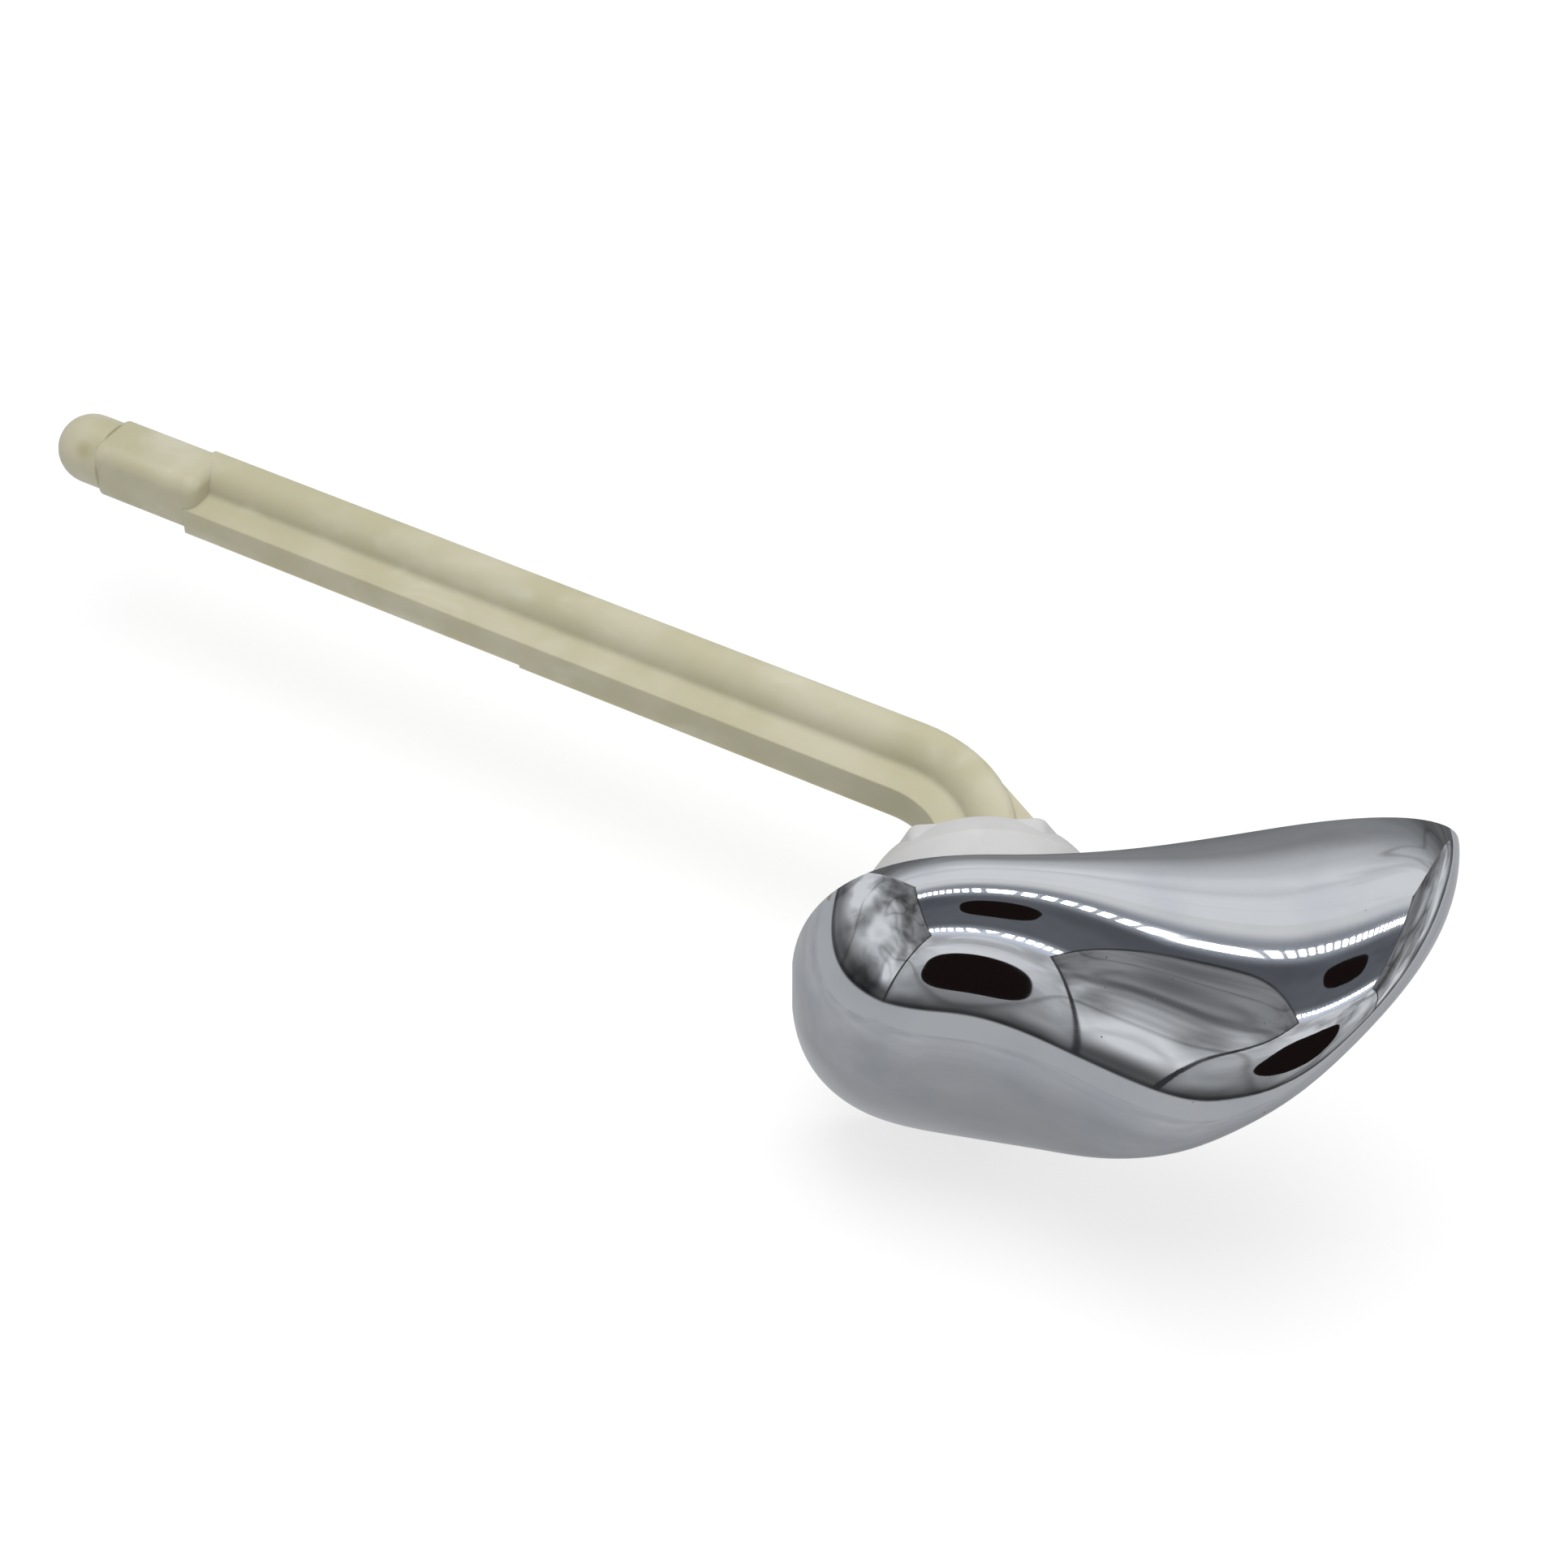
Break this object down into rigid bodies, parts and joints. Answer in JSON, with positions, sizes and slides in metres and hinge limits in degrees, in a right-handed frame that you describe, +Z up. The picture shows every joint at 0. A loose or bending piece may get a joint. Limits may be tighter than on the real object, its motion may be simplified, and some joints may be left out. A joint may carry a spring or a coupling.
{
  "type": "cistern lever",
  "caption": "Flush lever with a hollow chromed handle on a wall bushing, clamped by a flanged hexagon nut, and a bent ribbed plastic arm that lifts a flush link.",
  "frame": {"origin": "on the pivot axis, in the plane of the cistern wall's outer face", "axes": "+Y along the pivot axis into the cistern, +Z up, the handle reaches to +X in front of the wall and the arm to -X behind it"},
  "size_m": [0.1861, 0.1408, 0.0522],
  "materials": {
    "chrome_plate": "bright chrome plate on moulded plastic, mirror",
    "white_plastic": "moulded, satin",
    "black_rubber": "moulded, matt",
    "ivory_plastic": "moulded, satin, faintly translucent",
    "zinc_steel": "zinc plated"
  },
  "bodies": {
    "clamp": {"bushing": "white_plastic", "gasket": "black_rubber", "nut": "white_plastic"},
    "lever": {"handle": "chrome_plate", "arm": "ivory_plastic", "screw": "zinc_steel"}
  },
  "joints": [
    {"name": "lever_turn", "type": "hinge", "parent": "clamp", "child": "lever", "pos_m": [0, 0, 0], "axis": [0, 1, 0], "range_deg": [0, 35]}
  ]
}
